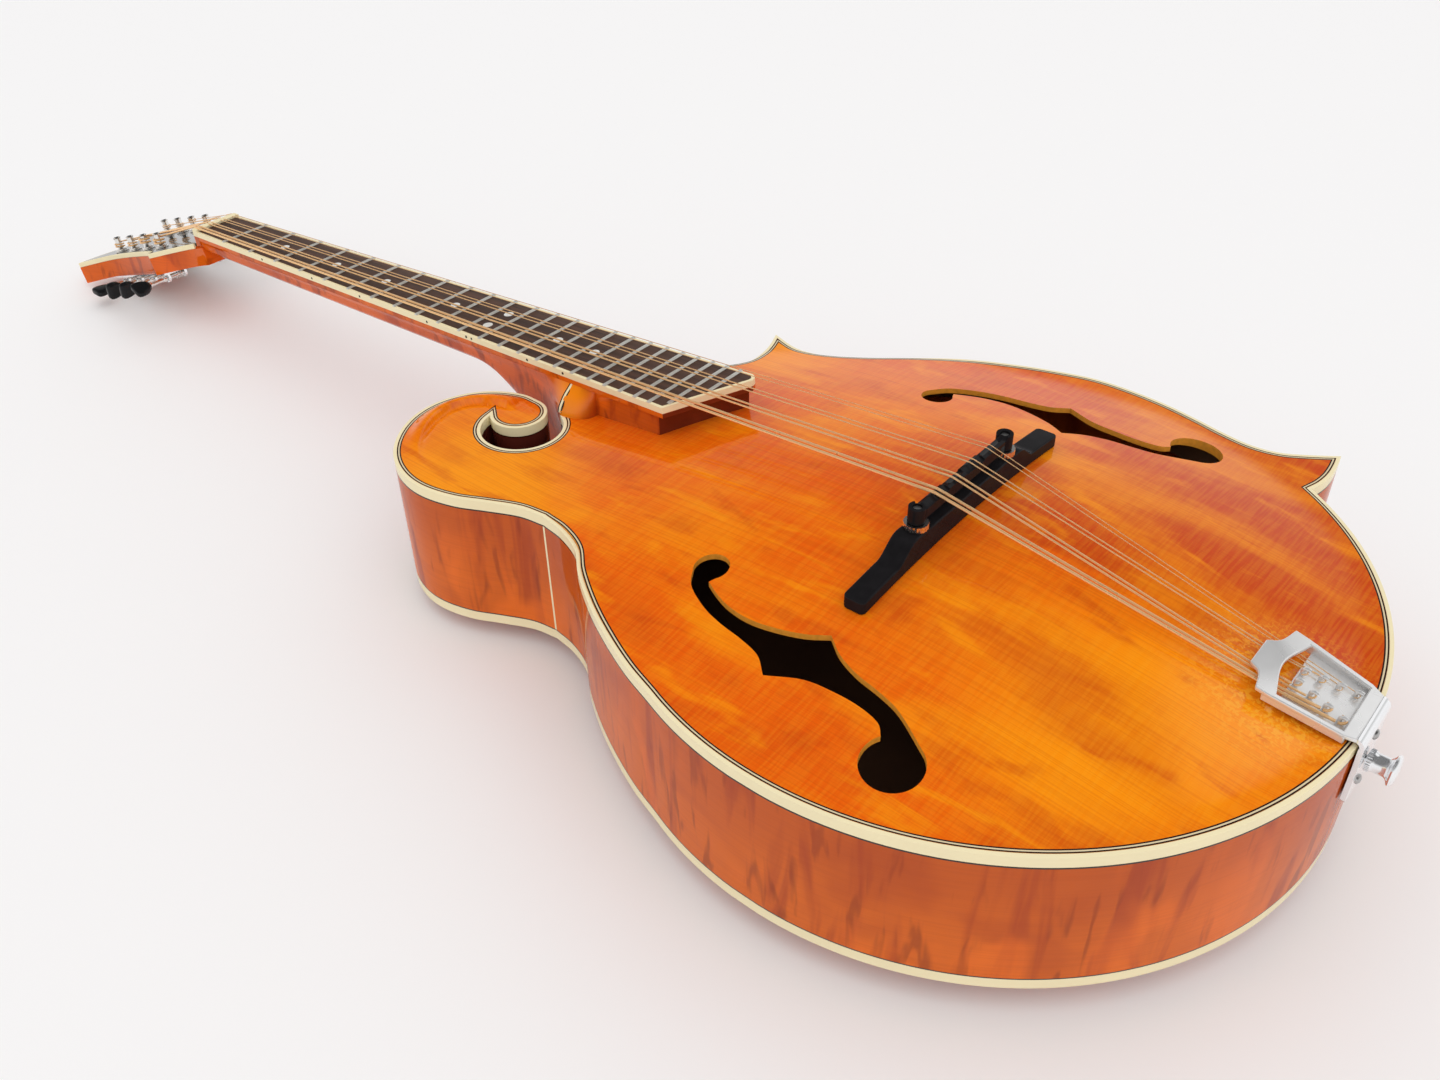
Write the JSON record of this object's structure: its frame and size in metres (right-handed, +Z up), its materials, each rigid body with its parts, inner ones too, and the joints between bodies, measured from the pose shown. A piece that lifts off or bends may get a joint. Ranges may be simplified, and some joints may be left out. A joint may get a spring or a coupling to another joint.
{
  "type": "mandocello",
  "caption": "Scroll-body mandocello with carved plates, f-holes, floating bridge, cast tailpiece, paired strings and geared tuners, lying on its back.",
  "frame": {"origin": "centre of the small rest flat at the lowest point of the carved back, on the floor", "axes": "+X to the treble side, +Y along the neck towards the headstock, +Z up out of the soundboard; the instrument lies on its back with its headstock lowered by the small angle at which its tip touches the floor"},
  "size_m": [0.3699, 0.9979, 0.1401],
  "materials": {
    "amber_spruce": "gloss lacquer",
    "black_plastic": "gloss",
    "bronze": "wound wire",
    "chrome": "polished",
    "cream_binding": "polished",
    "ebony": "polished",
    "flamed_maple": "gloss lacquer",
    "inner_spruce": "bare",
    "rosewood": "oiled",
    "steel": "plain"
  },
  "bodies": {
    "body": {"back": "flamed_maple", "binding_back": "cream_binding", "binding_top": "cream_binding", "bridge_base": "ebony", "bridge_post_bass": "steel", "bridge_post_treble": "steel", "extension_riser": "flamed_maple", "fingerboard": "rosewood", "fingerboard_binding": "cream_binding", "head_binding": "cream_binding", "head_overlay": "ebony", "lining_back": "inner_spruce", "lining_top": "inner_spruce", "neck": "flamed_maple", "neck_block": "inner_spruce", "nut": "cream_binding", "rib_bass": "flamed_maple", "rib_scroll": "flamed_maple", "rib_treble_lower": "flamed_maple", "rib_treble_middle": "flamed_maple", "rib_treble_upper": "flamed_maple", "soundboard": "amber_spruce", "strap_button": "chrome", "string_a1": "bronze", "string_a2": "bronze", "string_c1": "bronze", "string_c2": "bronze", "string_d1": "bronze", "string_d2": "bronze", "string_g1": "bronze", "string_g2": "bronze", "tail_block": "inner_spruce", "tailpiece": "chrome", "tailpiece_screw_lower": "steel", "tailpiece_screw_upper": "steel", "tone_bar_bass": "inner_spruce", "tone_bar_treble": "inner_spruce", "truss_rod": "steel", "tuner_plate_bass": "chrome", "tuner_plate_treble": "chrome"},
    "saddle": {"saddle": "ebony"},
    "thumbwheel_bass": {"thumbwheel_bass": "chrome"},
    "thumbwheel_treble": {"thumbwheel_treble": "chrome"},
    "tuner_button_bass_1": {"tuner_button_bass_1": "black_plastic"},
    "tuner_post_bass_1": {"tuner_post_bass_1": "chrome"},
    "tuner_button_bass_2": {"tuner_button_bass_2": "black_plastic"},
    "tuner_post_bass_2": {"tuner_post_bass_2": "chrome"},
    "tuner_button_bass_3": {"tuner_button_bass_3": "black_plastic"},
    "tuner_post_bass_3": {"tuner_post_bass_3": "chrome"},
    "tuner_button_bass_4": {"tuner_button_bass_4": "black_plastic"},
    "tuner_post_bass_4": {"tuner_post_bass_4": "chrome"},
    "tuner_button_treble_1": {"tuner_button_treble_1": "black_plastic"},
    "tuner_post_treble_1": {"tuner_post_treble_1": "chrome"},
    "tuner_button_treble_2": {"tuner_button_treble_2": "black_plastic"},
    "tuner_post_treble_2": {"tuner_post_treble_2": "chrome"},
    "tuner_button_treble_3": {"tuner_button_treble_3": "black_plastic"},
    "tuner_post_treble_3": {"tuner_post_treble_3": "chrome"},
    "tuner_button_treble_4": {"tuner_button_treble_4": "black_plastic"},
    "tuner_post_treble_4": {"tuner_post_treble_4": "chrome"}
  },
  "joints": [
    {"name": "saddle_height", "type": "slide", "parent": "body", "child": "saddle", "axis": [0, 0.0161, 0.9999], "range_m": [0, 0.004], "deforming": ["string_a1", "string_a2", "string_c1", "string_c2", "string_d1", "string_d2", "string_g1", "string_g2"]},
    {"name": "thumbwheel_bass_turn", "type": "hinge", "parent": "saddle", "child": "thumbwheel_bass", "pos_m": [-0.0383, -0.00969, 0.12775], "axis": [0, 0.0161, 0.9999], "range_deg": [-15, 2075]},
    {"name": "thumbwheel_treble_turn", "type": "hinge", "parent": "saddle", "child": "thumbwheel_treble", "pos_m": [0.0383, -0.00969, 0.12775], "axis": [0, 0.0161, 0.9999], "range_deg": [-15, 2075]},
    {"name": "tuner_button_bass_1_turn", "type": "hinge", "parent": "body", "child": "tuner_button_bass_1", "pos_m": [-0.02086, 0.65448, 0.0349], "axis": [-1, 0, 0], "continuous": true},
    {"name": "tuner_post_bass_1_turn", "type": "hinge", "parent": "body", "child": "tuner_post_bass_1", "pos_m": [-0.02086, 0.66744, 0.05274], "axis": [0, 0.3276, 0.9448], "continuous": true},
    {"name": "tuner_button_bass_2_turn", "type": "hinge", "parent": "body", "child": "tuner_button_bass_2", "pos_m": [-0.02086, 0.67697, 0.02711], "axis": [-1, 0, 0], "continuous": true},
    {"name": "tuner_post_bass_2_turn", "type": "hinge", "parent": "body", "child": "tuner_post_bass_2", "pos_m": [-0.02086, 0.68993, 0.04494], "axis": [0, 0.3276, 0.9448], "continuous": true},
    {"name": "tuner_button_bass_3_turn", "type": "hinge", "parent": "body", "child": "tuner_button_bass_3", "pos_m": [-0.02086, 0.69946, 0.01931], "axis": [-1, 0, 0], "continuous": true},
    {"name": "tuner_post_bass_3_turn", "type": "hinge", "parent": "body", "child": "tuner_post_bass_3", "pos_m": [-0.02086, 0.71241, 0.03715], "axis": [0, 0.3276, 0.9448], "continuous": true},
    {"name": "tuner_button_bass_4_turn", "type": "hinge", "parent": "body", "child": "tuner_button_bass_4", "pos_m": [-0.02086, 0.72194, 0.01151], "axis": [-1, 0, 0], "continuous": true},
    {"name": "tuner_post_bass_4_turn", "type": "hinge", "parent": "body", "child": "tuner_post_bass_4", "pos_m": [-0.02086, 0.7349, 0.02935], "axis": [0, 0.3276, 0.9448], "continuous": true},
    {"name": "tuner_button_treble_1_turn", "type": "hinge", "parent": "body", "child": "tuner_button_treble_1", "pos_m": [0.02086, 0.65448, 0.0349], "axis": [1, 0, 0], "continuous": true},
    {"name": "tuner_post_treble_1_turn", "type": "hinge", "parent": "body", "child": "tuner_post_treble_1", "pos_m": [0.02086, 0.66744, 0.05274], "axis": [0, 0.3276, 0.9448], "continuous": true},
    {"name": "tuner_button_treble_2_turn", "type": "hinge", "parent": "body", "child": "tuner_button_treble_2", "pos_m": [0.02086, 0.67697, 0.02711], "axis": [1, 0, 0], "continuous": true},
    {"name": "tuner_post_treble_2_turn", "type": "hinge", "parent": "body", "child": "tuner_post_treble_2", "pos_m": [0.02086, 0.68993, 0.04494], "axis": [0, 0.3276, 0.9448], "continuous": true},
    {"name": "tuner_button_treble_3_turn", "type": "hinge", "parent": "body", "child": "tuner_button_treble_3", "pos_m": [0.02086, 0.69946, 0.01931], "axis": [1, 0, 0], "continuous": true},
    {"name": "tuner_post_treble_3_turn", "type": "hinge", "parent": "body", "child": "tuner_post_treble_3", "pos_m": [0.02086, 0.71241, 0.03715], "axis": [0, 0.3276, 0.9448], "continuous": true},
    {"name": "tuner_button_treble_4_turn", "type": "hinge", "parent": "body", "child": "tuner_button_treble_4", "pos_m": [0.02086, 0.72194, 0.01151], "axis": [1, 0, 0], "continuous": true},
    {"name": "tuner_post_treble_4_turn", "type": "hinge", "parent": "body", "child": "tuner_post_treble_4", "pos_m": [0.02086, 0.7349, 0.02935], "axis": [0, 0.3276, 0.9448], "continuous": true}
  ],
  "couplings": [
    {"joint": "thumbwheel_bass_turn", "follows": "saddle_height", "rad_per_m": 8976},
    {"joint": "thumbwheel_treble_turn", "follows": "saddle_height", "rad_per_m": 8976},
    {"joint": "tuner_post_bass_1_turn", "follows": "tuner_button_bass_1_turn", "ratio": 0.071429},
    {"joint": "tuner_post_bass_2_turn", "follows": "tuner_button_bass_2_turn", "ratio": 0.071429},
    {"joint": "tuner_post_bass_3_turn", "follows": "tuner_button_bass_3_turn", "ratio": 0.071429},
    {"joint": "tuner_post_bass_4_turn", "follows": "tuner_button_bass_4_turn", "ratio": 0.071429},
    {"joint": "tuner_post_treble_1_turn", "follows": "tuner_button_treble_1_turn", "ratio": -0.071429},
    {"joint": "tuner_post_treble_2_turn", "follows": "tuner_button_treble_2_turn", "ratio": -0.071429},
    {"joint": "tuner_post_treble_3_turn", "follows": "tuner_button_treble_3_turn", "ratio": -0.071429},
    {"joint": "tuner_post_treble_4_turn", "follows": "tuner_button_treble_4_turn", "ratio": -0.071429}
  ]
}
